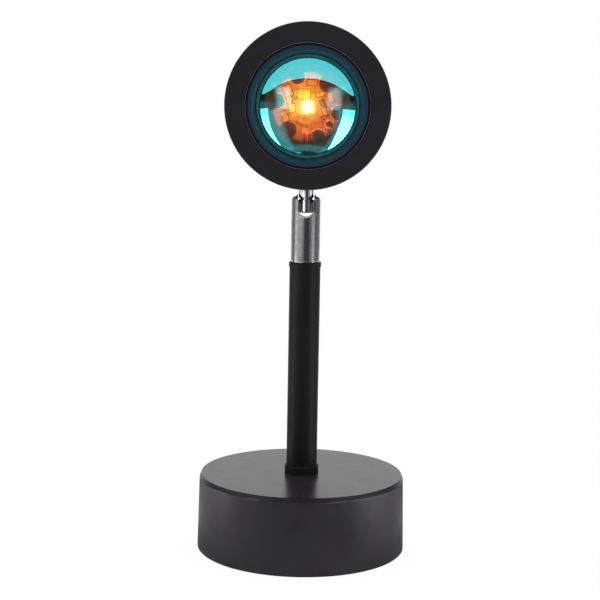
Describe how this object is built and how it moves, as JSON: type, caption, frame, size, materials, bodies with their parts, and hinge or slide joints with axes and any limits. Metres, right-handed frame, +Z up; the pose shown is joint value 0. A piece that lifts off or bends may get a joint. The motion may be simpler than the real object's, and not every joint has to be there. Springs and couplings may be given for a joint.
{
  "type": "sunset projection lamp",
  "caption": "Round weighted base, slim stem and a turning, tilting drum head with a domed coated lens that throws a warm disc of light.",
  "frame": {"origin": "centre of the base's underside, on the surface that the lamp stands on", "axes": "+Z up along the stem; the lens looks towards -Y; +X is to the right as seen from the lens side"},
  "size_m": [0.095, 0.0965, 0.2371],
  "materials": {
    "base_paint": "satin dark grey powder coat",
    "black_paint": "fine matt black powder coat",
    "stem_paint": "satin black paint",
    "sleeve_steel": "satin nickel",
    "chrome": "polished",
    "zinc_steel": "zinc plated",
    "ballast_iron": "rough cast",
    "brass": "turned",
    "rubber": "matt",
    "sink_aluminium": "as cast",
    "spring_steel": "blackened",
    "washer_plastic": "plain",
    "board_white": "solder mask",
    "solder": "tinned",
    "led_phosphor": "phosphor",
    "lead_insulation": "smooth",
    "cone_plastic": "matt",
    "lens_glass": "blue-green reflecting coat"
  },
  "bodies": {
    "stand": {"foot_pad": "rubber", "base_plate": "zinc_steel", "base_plate_screws": "zinc_steel", "base_weight": "ballast_iron", "base_shell": "base_paint", "cable_grommet": "rubber", "foot_collar": "stem_paint", "threaded_nipple": "brass", "lock_washer": "zinc_steel", "lock_nut": "zinc_steel", "tube_insert": "brass", "stem_tube": "stem_paint", "top_collar": "stem_paint"},
    "swivel": {"swivel_sleeve": "sleeve_steel", "wave_washer": "spring_steel", "retaining_ring": "spring_steel", "friction_washers": "washer_plastic", "tilt_pin": "chrome"},
    "head": {"neck_stud": "chrome", "neck_washer": "zinc_steel", "neck_nut": "zinc_steel", "head_housing": "black_paint", "heat_sink": "sink_aluminium", "heat_sink_screws": "zinc_steel", "led_board": "board_white", "led_emitter": "led_phosphor", "board_parts": "solder", "board_screws": "spring_steel", "led_leads": "lead_insulation", "light_cone": "cone_plastic", "lens": "lens_glass", "lens_gasket": "rubber", "front_bezel": "black_paint", "rear_cover": "black_paint", "rear_cover_screws": "spring_steel"}
  },
  "joints": [
    {"name": "swivel_turn", "type": "hinge", "parent": "stand", "child": "swivel", "pos_m": [0, 0, 0.1324], "axis": [0, 0, 1], "range_deg": [-175, 175]},
    {"name": "head_tilt", "type": "hinge", "parent": "swivel", "child": "head", "pos_m": [0, 0, 0.1568], "axis": [1, 0, 0], "range_deg": [-90, 90]}
  ]
}
